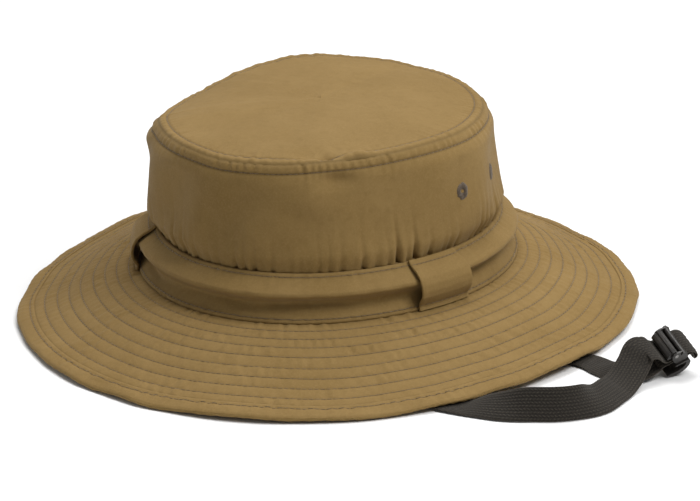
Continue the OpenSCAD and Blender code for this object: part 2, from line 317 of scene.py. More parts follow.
def wall(u, h):
    """The crown's outer face at a height share h: 0 at the band's top edge, 1 at the top seam."""
    low, top = BAND_Z - WALL_TUCK, wall_top(u)
    z = low + (top - low) * h
    t = np.clip((z - BAND_Z) / (SEAM_Z - BAND_Z), 0, 1.05)
    offset = WALL_FOOT - WALL_LEAN * (1 - np.maximum(1 - t, 0) ** 1.8)
    up = z - BAND_Z
    down = top - z
    fold = wall_gathers(u)
    pinch = np.maximum(-fold - 0.15, 0) ** 1.4
    gather_size = 0.85 + 0.3 * wall_gather_size(u)
    gather = gather_size * (0.45 * fold - 1.1 * pinch) * np.exp(-np.maximum(up, 0) / 7)
    crimp = 0.2 * (1 + 0.5 * wall_pucker_size(u)) * wall_puckers(u)
    crimp = crimp * np.where(down < WALL_ROW, np.sin(math.pi * np.clip(down / WALL_ROW, 0, 1)) ** 0.8,
                             0.45 * np.exp(-(down - WALL_ROW) / 3) * smooth((down - WALL_ROW) / 1.2))
    roll = 0.5 * np.sin(math.pi * np.clip(down / WALL_ROW, 0, 1)) - 0.9 * np.exp(-(down / 0.8) ** 2)
    row = -0.4 * np.exp(-((down - WALL_ROW) / 0.7) ** 2)
    body = smooth(up / 18) * smooth((down - 3) / 16)
    slack = (0.9 * wall_waves(u + 0.03 * t) + 0.7 * wall_waves_low(u - 0.05 * t)) * body
    hollows = dents(u, z, WALL_DENTS) * smooth(down / 6)
    puff = around(u, WALL_PUFF) * smooth(up / 9) ** 0.8 * smooth(down / 10) ** 0.8
    offset = offset + puff + gather + crimp + roll + row + slack + hollows
    x, y = oval(u, offset)
    shift = smooth(t)
    return np.stack([x + TOP_SHIFT[0] * shift, y + TOP_SHIFT[1] * shift, z], -1)


def height_share(u, z):
    """The height share at which the wall has a height z."""
    return (z - BAND_Z + WALL_TUCK) / (wall_top(u) - BAND_Z + WALL_TUCK)


def wall_below_seam(u, down):
    """The crown's wall, down mm below its top seam."""
    return wall(u, height_share(u, wall_top(u) - down))


TIP_RING = 42
TIP_RUN = 82


def tip(u, d):
    """The crown's top, d in from its seam; from TIP_RING on, its rings shrink to a point."""
    ring = np.minimum(d, TIP_RING)
    x, y = oval(u, TIP_EDGE - ring)
    shrink = np.clip((TIP_RUN - d) / (TIP_RUN - TIP_RING), 0, 1)
    x = np.where(d > TIP_RING, x * shrink, x) + TOP_SHIFT[0]
    y = np.where(d > TIP_RING, y * shrink, y) + TOP_SHIFT[1]
    to_go = np.clip((TIP_RUN - d) / TIP_RUN, 0, 1)
    dome = (TOP_Z - SEAM_Z) * (1 - to_go ** 3.2)
    sag = (wall_top(u) - SEAM_Z) * np.exp(-d / 30)
    roll = 0.55 * np.sin(math.pi * np.clip(d / TIP_ROW, 0, 1)) - 0.9 * np.exp(-(d / 0.8) ** 2)
    row = -0.35 * np.exp(-((d - TIP_ROW) / 0.7) ** 2)
    crimp = 0.12 * tip_puckers(u) * np.where(d < TIP_ROW, np.sin(math.pi * np.clip(d / TIP_ROW, 0, 1)),
                                             np.exp(-(d - TIP_ROW) / 4) * smooth((d - TIP_ROW) / 1.5))
    slack = 0.5 * tip_waves(u) * smooth((d - 5) / 15) * to_go
    z = SEAM_Z + dome + sag + roll + row + crimp + slack + dents(u, d, TIP_DENTS)
    return np.stack([x, y, z], -1)


# The band's face, as (height above the base seam, distance outside the oval)
BAND_SECTION = [(-0.2, 0.5), (0.8, 0.75), (2.1, 0.0), (3.2, -1.0), (4.6, -1.9), (6.2, -2.6), (7.8, -3.0),
                (9.2, -2.8), (10.6, -1.7), (12, -0.1), (13.2, 0.7), (14.6, 0.3), (16, -1.3), (17.6, -3.7),
                (19.2, -6.1), (20.1, -7.2), (20.8, -7.7), (21.4, -8.3), (21.7, -9.3)]
BAND_ROW_LOW, BAND_ROW_TOP = 2.1, 20.1
BAND_CREASE = [(0.9, 224, 8.5, 11, 1.6), (-0.72, 224, 5.8, 12, 1.6)]
band_folds = Ripple(31, 8, terms=6)
band_wrinkles = Ripple(32, 30, terms=10)
band_puckers = Ripple(33, 120, terms=14)


def band(u, v):
    """The folded band, v the height above the base seam."""
    heights = [p[0] for p in BAND_SECTION]
    offset = np.interp(v, heights, [p[1] for p in BAND_SECTION])
    middle = np.sin(math.pi * np.clip((v - 3) / 15, 0, 1))
    trough = np.exp(-((v - 7.6 - 0.9 * band_folds(u)) / 2.6) ** 2)
    offset = offset - (1.7 + 0.6 * band_folds(u + 0.2)) * trough * middle
    offset = offset + 0.08 * band_wrinkles(u + 0.004 * v) * middle
    edge = np.exp(-np.minimum(v - BAND_ROW_LOW, 19.2 - v).clip(0, None) / 2)
    offset = offset + 0.1 * band_puckers(u) * edge * smooth(v / 1.5)
    offset = offset + dents(u, v, BAND_CREASE)
    x, y = oval(u, offset)
    return np.stack([x, y, BASE_Z + v + 0 * x], -1)


# The loops' section, as (distance outside the oval, height)
LOOP_SECTION = [(1.5, 23.5), (1.1, 24.6), (0.9, 26.4), (1.9, 28.4), (2.9, 30.8), (3.1, 33.2), (2.5, 36),
                (0.9, 38.9), (-1.9, 41.2), (-5.0, 42.9), (-6.9, 44.1), (-8.0, 45.1)]
# The loops' stitch rows, as shares of the way up the section, half their width, and half their thickness
LOOP_ROWS = (0.17, 0.84)
LOOP_HALF = 15
LOOP_HALF_THICK = 0.55


def loop_face(a, w, middle, seed):
    """A band loop's outer face: a mm along the band from its middle, w up it from 0 to 1."""
    spots = np.linspace(0, 1, len(LOOP_SECTION))
    offset = np.interp(w, spots, [p[0] for p in LOOP_SECTION])
    z = np.interp(w, spots, [p[1] for p in LOOP_SECTION])
    free = smooth((w - 0.17) / 0.2) * smooth((0.86 - w) / 0.2)
    waves = Ripple(seed, 1, terms=3, spread=0.2)
    offset = offset + (0.25 * waves(a / 70 + 0.2 * w) + 0.5 * (a / LOOP_HALF) ** 2) * free
    u = share_of(middle) + a / GIRTH + 0.3 * free * waves(w * 0.4) / GIRTH
    x, y = oval(u, offset)
    return np.stack([x, y, z + 0 * x], -1)


# ---------------------------------------------------------------- making meshes

def unit(v):
    """The vectors v, each at a length of 1."""
    return v / np.linalg.norm(v, axis=-1, keepdims=True)


def normals(surface, u, v, du=2e-4, dv=0.05):
    """Unit normals of a surface, by differences."""
    along = surface(u + du, v) - surface(u - du, v)
    up = surface(u, v + dv) - surface(u, v - dv)
    return unit(np.cross(along, up))


def grid_faces(rows, columns, wrap_rows, wrap_columns):
    """The quads of a grid of points, closed round in either direction or not."""
    i = np.arange(rows if wrap_rows else rows - 1)[:, None]
    j = np.arange(columns if wrap_columns else columns - 1)[None, :]
    i, j = np.broadcast_arrays(i, j)
    i2, j2 = (i + 1) % rows, (j + 1) % columns
    quads = np.stack([i * columns + j, i2 * columns + j, i2 * columns + j2, i * columns + j2], -1)
    return quads.reshape(-1, 4)


def make_piece(name, points, faces, material, replaces=(), slot=None, body="hat", shade_marks=None,
               weave=None):
    """One mesh piece. points are in mm; the marks are painted shade along seams, stitch rows and grooves;
    weave gives each point's place on the cloth.
    """
    mesh = bpy.data.meshes.new(name)
    mesh.from_pydata((points.reshape(-1, 3) * MM).tolist(), [], [list(f) for f in faces])
    mesh.update()
    # The marks become a point attribute of painted shade, which the materials darken the colour by
    if shade_marks is not None:
        layer = mesh.attributes.new("seam", "FLOAT", "POINT")
        layer.data.foreach_set("value", np.asarray(shade_marks, np.float32).ravel())
    if weave is not None:
        uv = mesh.uv_layers.new(name="weave")
        corners = np.empty(len(mesh.loops), int)
        mesh.loops.foreach_get("vertex_index", corners)
        uv.data.foreach_set("uv", np.asarray(weave, np.float32).reshape(-1, 2)[corners].ravel())
    mesh.shade_smooth()
    mesh.materials.append(material)
    piece = bpy.data.objects.new(name, mesh)
    bpy.context.scene.collection.objects.link(piece)
    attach(piece, body)
    if replaces:
        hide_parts(*replaces)
    return piece


def flip(faces):
    """The same faces, turned over."""
    return faces[:, ::-1]


def capped_faces(rows, columns):
    """The faces of a tube of closed rings, turned over, with a flat face at each end."""
    faces = [list(f) for f in flip(grid_faces(rows, columns, False, True))]
    return faces + [list(range(columns)), list(range((rows - 1) * columns, rows * columns))[::-1]]


def ring_piece(name, layers, shade_marks, material, facing, **given):
    """A closed band round the hat: layers are point rows (u first) that loop round its section.

    facing is 1, or -1 where the layers run the other way round and the faces have to be turned over.
    """
    points = np.concatenate(layers, 1)
    rows, columns = points.shape[:2]
    along = np.linspace(0, GIRTH, rows, endpoint=False)
    across = np.cumsum(np.concatenate([[0], np.linalg.norm(np.diff(points[0], axis=0), axis=1)]))
    weave = np.stack(np.broadcast_arrays(along[:, None], across[None, :]), -1)
    faces = grid_faces(rows, columns, True, True)
    return make_piece(name, points, faces if facing > 0 else flip(faces), material,
                      shade_marks=np.concatenate(shade_marks, 1), weave=weave, **given)


THREAD_R = 0.17
THREAD_SIDES = 6
STITCH = 2.5
SEAM_STITCH = 2.7
# Along the stitch, height off the cloth, share of the thread's radius, and how much painted shade darkens it
# there, where it dives into the cloth
STITCH_RINGS = [(-0.5, -0.1, 0.9, 1), (-0.38, -0.02, 1, 1), (-0.3, 0.1, 1, 0), (0.3, 0.1, 1, 0),
                (0.38, -0.02, 1, 1), (0.5, -0.1, 0.9, 1)]


class Stitches:
    """Gathers rows of stitches, each stitch a short thread that dips into the cloth at both ends."""

    def __init__(self, seed):
        self.points, self.faces, self.count = [], [], 0
        self.rng = np.random.default_rng(seed)

    def row(self, at, run, up, pitch):
        """at gives each stitch's middle, run its direction, and up the way out of the cloth."""
        count = len(at)
        length = (pitch - 0.1) * self.rng.uniform(0.95, 1.03, count)
        skew = self.rng.normal(0, 0.035, count)
        along = run + skew[:, None] * np.cross(up, run)
        side = np.cross(up, along)
        rings = []
        for t, height, size, _ in STITCH_RINGS:
            middle = at + along * (t * length)[:, None] + up * height
            for k in range(THREAD_SIDES):
                a = TAU * k / THREAD_SIDES
                rings.append(middle + THREAD_R * size * (math.cos(a) * side + math.sin(a) * up))
        points = np.stack(rings, 1)
        quads = grid_faces(len(STITCH_RINGS), THREAD_SIDES, False, True)
        # Two quads close each six-sided end
        first_cap = np.array([[0, 1, 2, 3], [0, 3, 4, 5]])
        last_cap = flip(first_cap) + (len(STITCH_RINGS) - 1) * THREAD_SIDES
        one = flip(np.concatenate([quads, first_cap, last_cap]))
        starts = self.count + np.arange(count) * len(rings)
        self.points.append(points.reshape(-1, 3))
        self.faces.append((one[None] + starts[:, None, None]).reshape(-1, 4))
        self.count += count * len(rings)

    def all_round(self, surface, v, outward=1, pitch=STITCH):
        """A row all the way round the hat, along a line of constant v on a surface."""
        u = np.linspace(0, 1, 400)
        line = surface(u, v + 0 * u)
        length = np.linalg.norm(np.diff(line, axis=0), axis=1).sum()
        count = int(length / pitch)
        u = (np.arange(count) + self.rng.uniform(0, 1)) / count
        v = v + 0 * u
        half = 1 / count / 2
        along = unit(surface(u + half, v) - surface(u - half, v))
        up = normals(surface, u, v) * outward
        self.row(surface(u, v), along, up, pitch=length / count)

    def piece(self, name, material):
        """Makes one piece of all the stitches so far, with painted shade on their ends, where they dive into
        the cloth.
        """
        points = np.concatenate(self.points)
        one = np.repeat([ring[3] for ring in STITCH_RINGS], THREAD_SIDES)
        shade_marks = np.tile(one, len(points) // len(one))
        return make_piece(name, points, np.concatenate(self.faces), material, slot="thread", shade_marks=shade_marks)


# ---------------------------------------------------------------- materials

def new_material(name, roughness, sheen=0.0, specular=0.5, metallic=0.0):
    """A material, its node tree and its shader, with the constants set."""
    material = bpy.data.materials.new(name)
    material.use_nodes = True
    shader = material.node_tree.nodes["Principled BSDF"]
    shader.inputs["Roughness"].default_value = roughness
    shader.inputs["Sheen Weight"].default_value = sheen
    shader.inputs["Sheen Roughness"].default_value = 0.5
    shader.inputs["Specular IOR Level"].default_value = specular
    shader.inputs["Metallic"].default_value = metallic
    return material, material.node_tree, shader


def add(tree, kind, **inputs):
    """A node with some of its inputs set."""
    node = tree.nodes.new(kind)
    for key, value in inputs.items():
        node.inputs[key.replace("_", " ")].default_value = value
    return node


def mix(tree, factor, a, b, blend="MIX"):
    """A colour mix; each of factor, a and b is a socket or a value."""
    node = tree.nodes.new("ShaderNodeMix")
    node.data_type = "RGBA"
    node.blend_type = blend
    for socket, value in ((node.inputs[0], factor), (node.inputs[6], a), (node.inputs[7], b)):
        if isinstance(value, bpy.types.NodeSocket):
            tree.links.new(value, socket)
        elif isinstance(value, (int, float)):
            socket.default_value = value
        else:
            socket.default_value = (*value, 1)
    return node.outputs[2]


def noise(tree, vector, scale, detail=3, roughness=0.6):
    """Noise at so many lumps a metre."""
    node = add(tree, "ShaderNodeTexNoise", Scale=scale, Detail=detail, Roughness=roughness)
    tree.links.new(vector, node.inputs["Vector"])
    return node.outputs["Fac"]


def ramp(tree, value, low, high):
    """A value taken from 0 at low to 1 at high."""
    node = add(tree, "ShaderNodeMapRange")
    node.inputs["From Min"].default_value = low
    node.inputs["From Max"].default_value = high
    tree.links.new(value, node.inputs["Value"])
    return node.outputs["Result"]


def mathematics(tree, operation, a, b=0.0):
    """A sum on sockets or values."""
    node = tree.nodes.new("ShaderNodeMath")
    node.operation = operation
    for socket, value in ((node.inputs[0], a), (node.inputs[1], b)):
        if isinstance(value, bpy.types.NodeSocket):
            tree.links.new(value, socket)
        else:
            socket.default_value = value
    return node.outputs[0]


WEAVE_PITCH = 0.42


def cloth_material(name, colour, dark, light):
    """Plain-woven cotton: two sets of threads, slubs, patchy dye, and painted shade along seams and stitch
    rows.
    """
    material, tree, shader = new_material(name, 0.75, 0.06, specular=0.16)
    shader.inputs["Sheen Tint"].default_value = (1.0, 0.93, 0.8, 1)
    place = tree.nodes.new("ShaderNodeTexCoord").outputs["Object"]
    uv = tree.nodes.new("ShaderNodeUVMap")
    uv.uv_map = "weave"
    split = tree.nodes.new("ShaderNodeSeparateXYZ")
    tree.links.new(uv.outputs["UV"], split.inputs[0])
    warp = mathematics(tree, "SINE", mathematics(tree, "MULTIPLY", split.outputs[0], TAU / WEAVE_PITCH))
    weft = mathematics(tree, "SINE", mathematics(tree, "MULTIPLY", split.outputs[1], TAU / WEAVE_PITCH))
    weave = mathematics(tree, "MULTIPLY", warp, weft)
    patches = noise(tree, place, 28, detail=4)
    specks = noise(tree, place, 1100, detail=3, roughness=0.75)
    slubs = noise(tree, place, 240, detail=3)
    base = mix(tree, ramp(tree, patches, 0.3, 0.7), dark, light)
    base = mix(tree, 0.62, base, colour)
    base = mix(tree, mathematics(tree, "MULTIPLY", ramp(tree, specks, 0.45, 0.7), 0.5), base, light)
    base = mix(tree, mathematics(tree, "MULTIPLY", ramp(tree, slubs, 0.5, 0.75), 0.35), base, dark)
    # Painted shade: the marks darken the cloth along seams and stitch rows, where shade falls in the grooves
    seam = tree.nodes.new("ShaderNodeAttribute")
    seam.attribute_name = "seam"
    base = mix(tree, mathematics(tree, "MULTIPLY", seam.outputs["Fac"], 0.55), base,
               [c * 0.42 for c in colour])
    tree.links.new(base, shader.inputs["Base Color"])
    relief = mathematics(tree, "ADD", mathematics(tree, "MULTIPLY", weave, 0.5),
                         mathematics(tree, "MULTIPLY", specks, 1.4))
    lump = add(tree, "ShaderNodeBump", Strength=0.4, Distance=0.00012)
    tree.links.new(relief, lump.inputs["Height"])
    tree.links.new(lump.outputs["Normal"], shader.inputs["Normal"])
    return material


def thread_material(name, colour, dark):
    """Twisted thread, with painted shade where it goes into the cloth."""
    material, tree, shader = new_material(name, 0.6, 0.3, specular=0.35)
    place = tree.nodes.new("ShaderNodeTexCoord").outputs["Object"]
    fibres = noise(tree, place, 2600, detail=2)
    patches = noise(tree, place, 120, detail=2)
    base = mix(tree, ramp(tree, fibres, 0.3, 0.7), dark, colour)
    base = mix(tree, mathematics(tree, "MULTIPLY", ramp(tree, patches, 0.4, 0.7), 0.4), base, dark)
    # Painted shade where each stitch dives into its hole in the cloth
    hole_shade = tree.nodes.new("ShaderNodeAttribute")
    hole_shade.attribute_name = "seam"
    base = mix(tree, mathematics(tree, "MULTIPLY", hole_shade.outputs["Fac"], 0.8), base, [c * 0.3 for c in dark])
    tree.links.new(base, shader.inputs["Base Color"])
    lump = add(tree, "ShaderNodeBump", Strength=0.5, Distance=0.0001)
    tree.links.new(fibres, lump.inputs["Height"])
    tree.links.new(lump.outputs["Normal"], shader.inputs["Normal"])
    return material


def strap_material():
    """Black knitted braid: yarn fibres, with painted shade in the grooves between its ribs and knit stitches.
    """
    material, tree, shader = new_material("strap_knit", 0.8, 0.12, specular=0.18)
    shader.inputs["Sheen Tint"].default_value = (0.9, 0.88, 0.84, 1)
    place = tree.nodes.new("ShaderNodeTexCoord").outputs["Object"]
    fibres = noise(tree, place, 2200, detail=3)
    # Painted shade in the grooves between ribs and knit stitches, from the strap's marks
    seam = tree.nodes.new("ShaderNodeAttribute")
    seam.attribute_name = "seam"
    base = mix(tree, ramp(tree, fibres, 0.3, 0.7), (0.02, 0.0168, 0.013), (0.07, 0.058, 0.044))
    base = mix(tree, seam.outputs["Fac"], base, (0.004, 0.0035, 0.003))
    tree.links.new(base, shader.inputs["Base Color"])
    lump = add(tree, "ShaderNodeBump", Strength=0.6, Distance=0.00015)
    tree.links.new(fibres, lump.inputs["Height"])
    tree.links.new(lump.outputs["Normal"], shader.inputs["Normal"])
    return material


def plastic_material():
    """Moulded dark nylon with a fine grain, paler where it has been rubbed."""
    material, tree, shader = new_material("slider_plastic", 0.38, specular=0.4)
    place = tree.nodes.new("ShaderNodeTexCoord").outputs["Object"]
    rubs = noise(tree, place, 260, detail=4)
    grain = noise(tree, place, 3000, detail=2)
    base = mix(tree, ramp(tree, rubs, 0.4, 0.75), (0.016, 0.014, 0.012), (0.045, 0.039, 0.032))
    tree.links.new(base, shader.inputs["Base Color"])
    lump = add(tree, "ShaderNodeBump", Strength=0.25, Distance=0.0001)
    tree.links.new(grain, lump.inputs["Height"])
    tree.links.new(lump.outputs["Normal"], shader.inputs["Normal"])
    return material


def steel_material():
    """Dull steel, finely scratched."""
    material, tree, shader = new_material("pin_steel", 0.38, specular=0.5, metallic=1.0)
    place = tree.nodes.new("ShaderNodeTexCoord").outputs["Object"]
    scratches = noise(tree, place, 1500, detail=3)
    base = mix(tree, ramp(tree, scratches, 0.3, 0.7), (0.22, 0.21, 0.2), (0.38, 0.37, 0.35))
    tree.links.new(base, shader.inputs["Base Color"])
    return material


SHELL = cloth_material("hat_cloth", (0.226, 0.141, 0.044), (0.178, 0.108, 0.031), (0.29, 0.19, 0.072))
LINING = cloth_material("lining_cloth", (0.235, 0.15, 0.053), (0.18, 0.114, 0.037), (0.29, 0.196, 0.08))
THREAD = thread_material("seam_thread", (0.19, 0.125, 0.062), (0.1, 0.063, 0.028))
EYELET = thread_material("eyelet_thread", (0.15, 0.108, 0.068), (0.06, 0.04, 0.024))
STRAP = strap_material()
PLASTIC = plastic_material()
STEEL = steel_material()


# ---------------------------------------------------------------- the chin strap

# The strap's route, as in the CAD: a centre point and the direction across the strap, in metres.
FRONT_RUN = [((-0.084, 0, 0.019), (0, 1, 0)), ((-0.083, -0.002, 0.009), (0, 1, 0)),
             ((-0.07, -0.014, 0.001), (0.5, 0.8, 0)), ((-0.04, -0.038, 0.001), (0.6, 0.8, 0)),
             ((0, -0.066, 0.001), (0.5, 0.8, 0)), ((0.04, -0.09, 0.001), (0.4, 0.9, 0)),
             ((0.078, -0.106, 0.001), (0.2, 1, 0)), ((0.102, -0.11, 0.001), (0, 1, 0)),
             ((0.114, -0.111, 0.001), (0, 1, 0)), ((0.124, -0.1115, 0.002), (0, 0.9, 0.3)),
             ((0.134, -0.112, 0.004), (0, 0.8, 0.6)), ((0.146, -0.1105, 0.0065), (-0.1, 0.5, 0.9)),
             ((0.158, -0.1065, 0.0072), (-0.2, 0.3, 0.9)), ((0.1665, -0.0995, 0.0066), (-0.3, 0.2, 0.8)),
             ((0.1715, -0.088, 0.005), (-0.7, 0.3, 0.6)), ((0.1732, -0.075, 0.004), (-0.8, 0.2, 0.5)),
             ((0.1742, -0.063, 0.005), (-0.9, 0.1, 0.4)), ((0.1756, -0.054, 0.0095), (-0.9, 0.1, 0.4)),
             ((0.1766, -0.0488, 0.014), (-0.9, 0.2, 0.4))]
# Its way through the slider, in the slider's own XZ plane
THROUGH = [(-0.0128, 0.0056), (-0.0104, 0.0036), (-0.0092, 0.0009), (-0.0074, -0.00115),
           (-0.0058, -0.00135), (0, -0.00135), (0.004, -0.00145), (0.0061, -0.0027), (0.0077, -0.005),
           (0.0076, -0.007), (0.0066, -0.0077), (0.0059, -0.0066), (0.00595, -0.0049), (0.0052, -0.0034),
           (0.0038, -0.00295), (0, -0.00295), (-0.009, -0.00295), (-0.012, -0.0042)]
REAR_RUN = [((0.176, -0.046, 0.0036), (-0.6, 0.7, 0.2)), ((0.169, -0.0485, 0.002), (-0.2, 1, 0.1)),
            ((0.16, -0.045, 0.001), (0.2, 1, 0.1)), ((0.151, -0.039, 0.001), (0.2, 1, 0)),
            ((0.14, -0.036, 0.001), (0.1, 1, 0)), ((0.126, -0.032, 0.001), (0.2, 1, 0)),
            ((0.108, -0.023, 0.001), (0.4, 0.9, 0)), ((0.092, -0.01, 0.001), (0.3, 0.9, 0)),
            ((0.0845, -0.002, 0.009), (0, 1, 0)), ((0.084, 0, 0.019), (0, 1, 0))]
SLIDER_AT = Vector((0.188, -0.035, 0.0146))
SLIDER_TURN = (Matrix.Rotation(math.radians(41), 3, "Z") @ Matrix.Rotation(math.radians(-21), 3, "Y")
               @ Matrix.Rotation(math.radians(24), 3, "X"))
STRAP_W, STRAP_T = 0.015, 0.0014
RIBS, RIB_POINTS = 10, 5
KNIT_PITCH = 0.0017
FINE_STEP, COARSE_STEP = 0.00045, 0.0016
# The strap goes out of sight this far before the end of the stretch outside the hat
HIDDEN_END = 0.085


def in_slider(x, z):
    """A point of the slider's own XZ plane, and the direction across the strap there."""
    return tuple(SLIDER_AT + SLIDER_TURN @ Vector((x, 0, z))), tuple(SLIDER_TURN @ Vector((0, 1, 0)))


def catmull(knots, t):
    """A Catmull-Rom curve through the knots, t from 0 to one less than their number."""
    i = np.minimum(np.floor(t).astype(int), len(knots) - 2)
    u = (t - i)[:, None]
    a, b = knots[np.maximum(i - 1, 0)], knots[i]
    c, d = knots[i + 1], knots[np.minimum(i + 2, len(knots) - 1)]
    return 0.5 * (2 * b + (c - a) * u + (2 * a - 5 * b + 4 * c - d) * u ** 2
                  + (3 * b - a - 3 * c + d) * u ** 3)


def strap_frames():
    """Centre, direction across and face normal of the strap, dense and evenly spaced, and the length."""
    route = FRONT_RUN + [in_slider(x, z) for x, z in THROUGH] + REAR_RUN
    t = np.linspace(0, len(route) - 1, 6000)
    centre = catmull(np.array([p for p, _ in route]), t)
    hint = catmull(np.array([a for _, a in route], float), t)
    run = unit(np.gradient(centre, axis=0))
    across = unit(hint - (hint * run).sum(1, keepdims=True) * run)
    face = np.cross(run, across)
    low = STRAP_W / 2 * abs(across[:, 2]) + STRAP_T / 2 * abs(face[:, 2]) + 0.0001
    centre[:, 2] = np.maximum(centre[:, 2], low)
    far = np.concatenate([[0], np.cumsum(np.linalg.norm(np.diff(centre, axis=0), axis=1))])
    return centre, across, face, far


def make_strap():
    """The whole strap as one ribbed braid, with knit stitches where it shows."""
    centre, across, face, far = strap_frames()
    length = far[-1]
    # Fine rings where the strap shows, coarse ones where the hat hides it
    shown = (centre[:, 0] > 0.07) & (centre[:, 2] < 0.04)
    first, last = far[np.argmax(shown)], far[len(shown) - 1 - np.argmax(shown[::-1])]
    fine = last - HIDDEN_END
    stations = np.concatenate([np.arange(0, first, COARSE_STEP), np.arange(first, fine, FINE_STEP),
                               np.arange(fine, length, COARSE_STEP), [length]])
    pick = np.stack([np.interp(stations, far, centre[:, k]) for k in range(3)], 1)
    side = unit(np.stack([np.interp(stations, far, across[:, k]) for k in range(3)], 1))
    up = unit(np.stack([np.interp(stations, far, face[:, k]) for k in range(3)], 1))
    width_points = RIBS * RIB_POINTS
    y = (np.arange(width_points) + 0.5) / width_points * 2 - 1
    rib = np.arange(width_points) // RIB_POINTS
    inside = (np.arange(width_points) % RIB_POINTS + 0.5) / RIB_POINTS
    ridge = np.sin(math.pi * inside) ** 1.1
    knit_on = smooth((stations - first + 0.004) / 0.006) * smooth((fine - stations) / 0.006)
    lean = np.where(rib % 2, 1, -1) * (inside - 0.5) * 0.9
    knit = np.cos(TAU * (stations[:, None] / KNIT_PITCH + 0.5 * (rib % 2)[None, :] + lean[None, :]))
    edge = np.sqrt(np.clip(1 - np.abs(y) ** 12, 0, 1))
    thick = STRAP_T / 2 * edge
    high = thick[None, :] * (0.55 + 0.45 * ridge[None, :] * (0.65 + 0.35 * knit * knit_on[:, None]))
    half = STRAP_W / 2 * 0.985
    top = pick[:, None] + side[:, None] * (y * half)[None, :, None] + up[:, None] * high[..., None]
    low = pick[:, None] + side[:, None] * (y * half)[None, ::-1, None] - up[:, None] * high[:, ::-1, None]
    rims = []
    for sign in (1, -1):
        for k in range(3):
            a = math.pi * (k + 1) / 4
            reach = half + STRAP_T * 0.28 * math.sin(a)
            rims.append(pick + side * sign * reach + up * sign * STRAP_T * 0.3 * math.cos(a))
    points = np.concatenate([top, np.stack(rims[:3], 1), low, np.stack(rims[3:], 1)], 1)
    # Painted shade: dark in the grooves between the ribs and in the gaps between knit stitches
    shade = np.concatenate([np.maximum(0.95 * (1 - ridge)[None, :], 0.75 * (1 - knit) / 2 * knit_on[:, None]),
                            np.zeros((len(stations), 3))], 1)
    shade = np.concatenate([shade, shade[:, :width_points][:, ::-1], np.zeros((len(stations), 3))], 1)
    rows, columns = points.shape[:2]
    faces = capped_faces(rows, columns)
    strap = make_piece("chin_strap_braid", points / MM, faces, STRAP, replaces=["chin_strap"],
                       slot="strap_knit", shade_marks=shade)


make_strap()


# ---------------------------------------------------------------- the hat's cloth pieces

def grid(rows, values):
    """u all the way round against a list of values."""
    u = np.linspace(0, 1, rows, endpoint=False)
    return np.meshgrid(u, np.asarray(values, float), indexing="ij")


def near(x, at, width):
    """1 on a line, falling off each side of it."""
    return np.exp(-((x - at) / width) ** 2)


def make_brim():
    """The quilted plies, the bound hem, and their stitching."""
    rows, columns = 820, 96
    tucked_in, under_hem = -3.2, plan(57)
    u, r = grid(rows, np.linspace(tucked_in, under_hem, columns))
    top = brim_top(u, r)
    s = slant(r)
    # Painted shade along the quilting rows, the hem's inner edge and the base seam
    top_shade_marks = sum(near(s, q, 0.55) for q in QUILT) * 0.55 + 0.8 * near(s, HEM_IN, 0.5) + near(s, 0, 0.7)
    u2, r2 = grid(rows, np.linspace(under_hem, tucked_in, 78))
    under = brim_under(u2, r2)
    s2 = slant(r2)
    # Painted shade along the quilting rows and the hem's inner edge, underneath
    under_shade_marks = sum(near(s2, q, 0.6) for q in QUILT) * 0.55 + 0.8 * near(s2, HEM_IN, 0.5)
    ring_piece("brim_quilted_plies", [top, under], [top_shade_marks, under_shade_marks], SHELL, -1,
               replaces=["brim_top_ply", "brim_interlining", "brim_bottom_ply"], slot="hat_cloth")
    u, w = grid(900, np.linspace(0, 1, 62))
    outer = hem(u, w)
    # Painted shade along the hem's two stitch rows
    shade_marks = sum(0.5 * near(w, row, 0.02) for row in HEM_ROWS)
    u, w = grid(900, np.linspace(1, 0, 12))
    lining = hem(u, w)
    middle = hem(u, np.full_like(w, 0.06)) * 0.5 + hem(u, np.full_like(w, 0.94)) * 0.5
    lining = lining + (middle - lining) * 0.28
    ring_piece("brim_bound_hem", [outer, lining], [shade_marks, np.zeros(u.shape)], SHELL, -1,
               replaces=["brim_binding"], slot="hat_cloth")
    stitches = Stitches(101)
    for row in QUILT:
        stitches.all_round(brim_top, plan(row), outward=-1)
    stitches.piece("brim_quilting_top", THREAD)
    stitches = Stitches(102)
    for row in QUILT:
        stitches.all_round(brim_under, plan(row))
    stitches.piece("brim_quilting_under", THREAD)
    stitches = Stitches(103)
    for row in HEM_ROWS:
        stitches.all_round(hem, row, outward=-1)
    stitches.piece("hem_stitching", THREAD)


